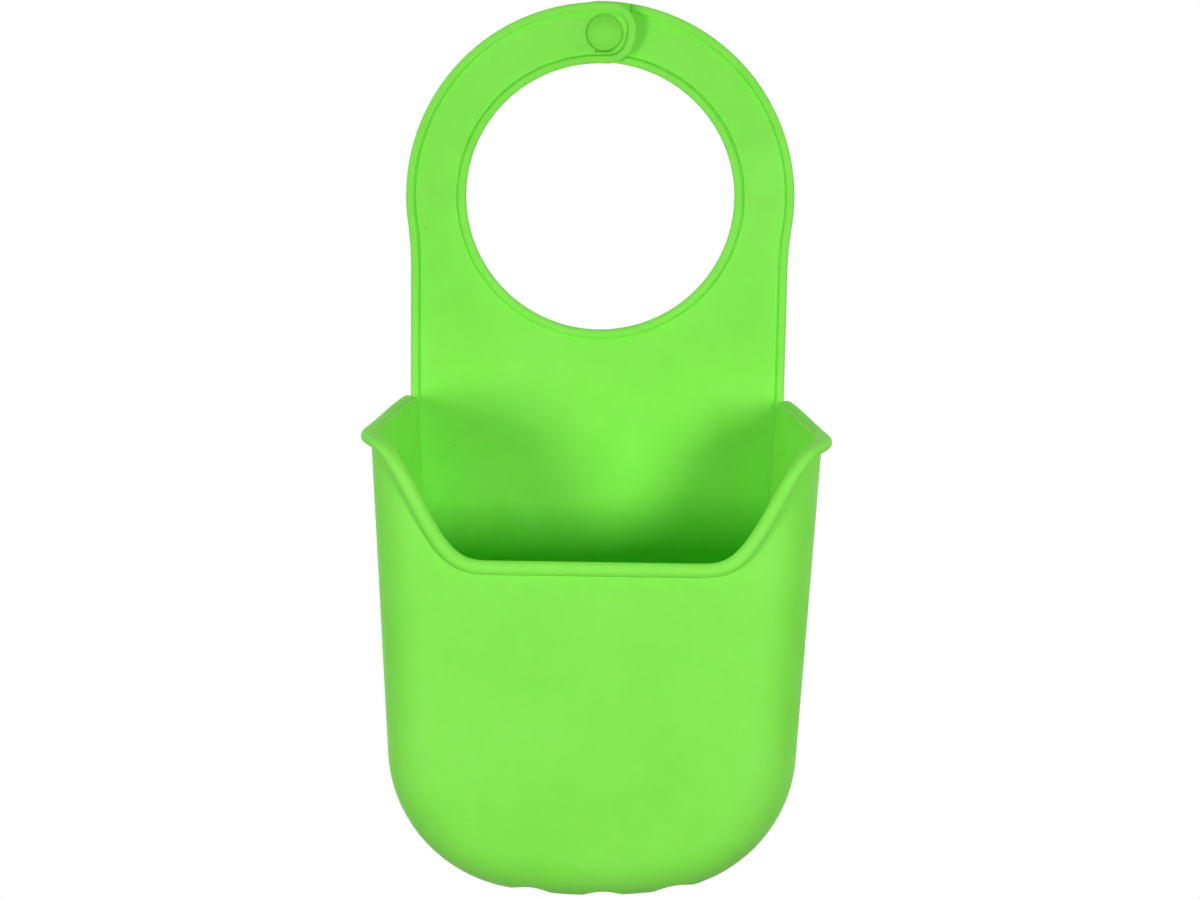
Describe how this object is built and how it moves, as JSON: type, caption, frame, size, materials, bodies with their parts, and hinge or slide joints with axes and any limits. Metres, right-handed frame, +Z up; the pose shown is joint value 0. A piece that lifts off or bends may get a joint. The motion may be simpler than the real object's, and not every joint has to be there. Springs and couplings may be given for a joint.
{
  "type": "sponge holder",
  "caption": "Soft tap-hung sponge pocket: a flat back rises into a loop that snaps shut, above an open pocket with a rolled, dipped rim and drain holes.",
  "frame": {"origin": "centre of the hanging loop's bore, halfway through the sheet of the back panel", "axes": "+Z up along the back panel towards the top of the loop, +Y from the pocket's front to the panel's back, +X to the right seen from the front"},
  "size_m": [0.111, 0.0526, 0.212],
  "materials": {
    "silicone": "matt moulded silicone"
  },
  "bodies": {
    "holder": {"back_panel": "silicone", "pocket_shell": "silicone", "pocket_rim": "silicone"},
    "front_strap": {"front_strap": "silicone"},
    "front_tip": {"front_strap_tip": "silicone"},
    "rear_strap": {"rear_strap": "silicone"},
    "rear_tip": {"rear_strap_tip": "silicone", "snap_stud": "silicone"}
  },
  "joints": [
    {"name": "front_strap_bend", "type": "hinge", "parent": "holder", "child": "front_strap", "pos_m": [-0.03975, -0.0021, 0], "axis": [1, 0, 0], "range_deg": [0, 40], "stiffness_Nm_per_rad": 0.005, "deforming": ["snap_stud"]},
    {"name": "front_tip_bend", "type": "hinge", "parent": "front_strap", "child": "front_tip", "pos_m": [-0.02811, -0.0021, 0.02811], "axis": [0.7071, 0, -0.7071], "range_deg": [0, 40], "stiffness_Nm_per_rad": 0.005},
    {"name": "rear_strap_bend", "type": "hinge", "parent": "holder", "child": "rear_strap", "pos_m": [0.03975, 0.0011, 0], "axis": [-1, 0, 0], "range_deg": [0, 40], "stiffness_Nm_per_rad": 0.005, "deforming": ["snap_stud"]},
    {"name": "rear_tip_bend", "type": "hinge", "parent": "rear_strap", "child": "rear_tip", "pos_m": [0.02811, 0.0011, 0.02811], "axis": [-0.7071, 0, -0.7071], "range_deg": [0, 40], "stiffness_Nm_per_rad": 0.005}
  ],
  "couplings": [
    {"joint": "front_tip_bend", "follows": "front_strap_bend", "ratio": 1},
    {"joint": "rear_tip_bend", "follows": "rear_strap_bend", "ratio": 1}
  ]
}
